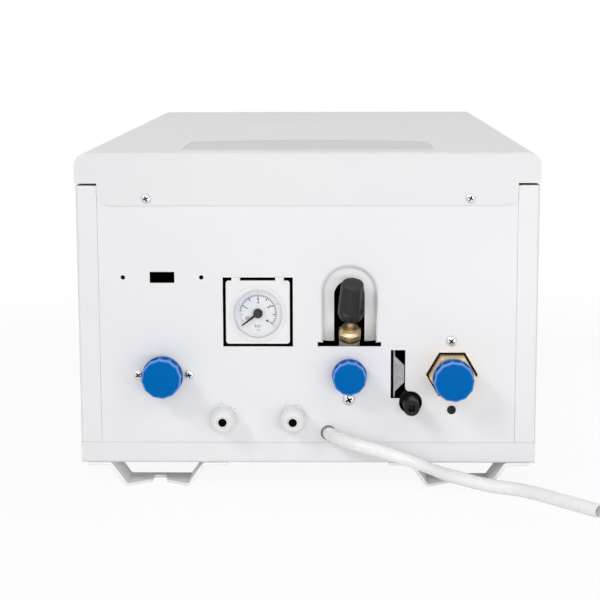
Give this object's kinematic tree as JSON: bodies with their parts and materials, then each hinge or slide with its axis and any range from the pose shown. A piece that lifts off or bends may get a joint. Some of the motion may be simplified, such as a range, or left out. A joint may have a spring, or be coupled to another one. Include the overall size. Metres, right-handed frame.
{
  "type": "wall-hung electric boiler",
  "caption": "Sheet-metal electric heating boiler on rear hook brackets, with capped pipe stubs, filling valve, pressure gauge, cable glands, drain cock and drain hose.",
  "frame": {"origin": "on the ground under the middle of the boiler's bounding box, the boiler lying on its back on its rear brackets", "axes": "+Z up, towards the front cover; +Y along the boiler, from its underside with the pipe connections to its top end; +X to the right as the underside is seen. On a wall, -Z faces the wall and +Y points up"},
  "size_m": [0.4575, 0.8381, 0.302],
  "materials": {
    "cover_paint": "satin white powder coat",
    "panel_paint": "satin white powder coat",
    "bracket_paint": "satin white powder coat",
    "fascia_grey": "fine matt light grey plastic",
    "insulation_black": "matt black board",
    "gauge_white": "glossy white moulded plastic",
    "dial_print": "pale printed dial",
    "lens_clear": "clear moulded plastic",
    "brass": "machined, slightly dull",
    "zinc_steel": "zinc plated",
    "cap_blue": "smooth polyethylene",
    "black_plastic": "moulded, slightly worn",
    "gland_nylon": "milky translucent nylon",
    "hose_clear": "clear soft plastic hose"
  },
  "bodies": {
    "boiler": {"back_panel": "panel_paint", "left_side_panel": "panel_paint", "right_side_panel": "panel_paint", "bottom_panel_upper": "panel_paint", "bottom_panel_middle": "panel_paint", "bottom_panel_lower": "panel_paint", "valve_recess": "panel_paint", "top_panel": "panel_paint", "front_cover": "cover_paint", "control_panel": "fascia_grey", "inner_board": "insulation_black", "bracket_lower_left": "bracket_paint", "bracket_lower_right": "bracket_paint", "bracket_upper_left": "bracket_paint", "bracket_upper_right": "bracket_paint", "gauge_housing": "gauge_white", "gauge_dial": "dial_print", "gauge_lens": "lens_clear", "valve_body": "brass", "valve_bonnet": "brass", "flow_fitting": "brass", "flow_clamp": "zinc_steel", "flow_cap": "cap_blue", "return_fitting": "brass", "return_clamp": "zinc_steel", "return_cap": "cap_blue", "fill_clamp": "zinc_steel", "fill_cap": "cap_blue", "left_gland": "gland_nylon", "right_gland": "gland_nylon", "left_gland_dome": "gland_nylon", "right_gland_dome": "gland_nylon", "left_gland_nut": "gland_nylon", "right_gland_nut": "gland_nylon", "drain_body": "black_plastic", "drain_bracket": "zinc_steel", "blanking_plug": "black_plastic", "hose_nozzle": "black_plastic", "drain_hose": "hose_clear"},
    "filling_valve_handle": {"valve_knob": "black_plastic", "valve_stem": "brass"},
    "gauge_needle": {"gauge_pointer": "black_plastic"},
    "drain_cock_spindle": {"drain_spindle": "black_plastic"}
  },
  "joints": [
    {"name": "filling_valve_turn", "type": "hinge", "parent": "boiler", "child": "filling_valve_handle", "pos_m": [0.0382, -0.34175, 0.1448], "axis": [0.0392, -0.4384, 0.8979], "range_deg": [0, 360]},
    {"name": "gauge_needle_turn", "type": "hinge", "parent": "boiler", "child": "gauge_needle", "pos_m": [-0.044, -0.34875, 0.1585], "axis": [0, 1, 0], "range_deg": [0, 255], "stiffness_Nm_per_rad": 0.0002, "springref_deg": -5.73},
    {"name": "drain_cock_turn", "type": "hinge", "parent": "boiler", "child": "drain_cock_spindle", "pos_m": [0.0923, -0.35175, 0.078], "axis": [0, -1, 0], "range_deg": [0, 360]}
  ]
}
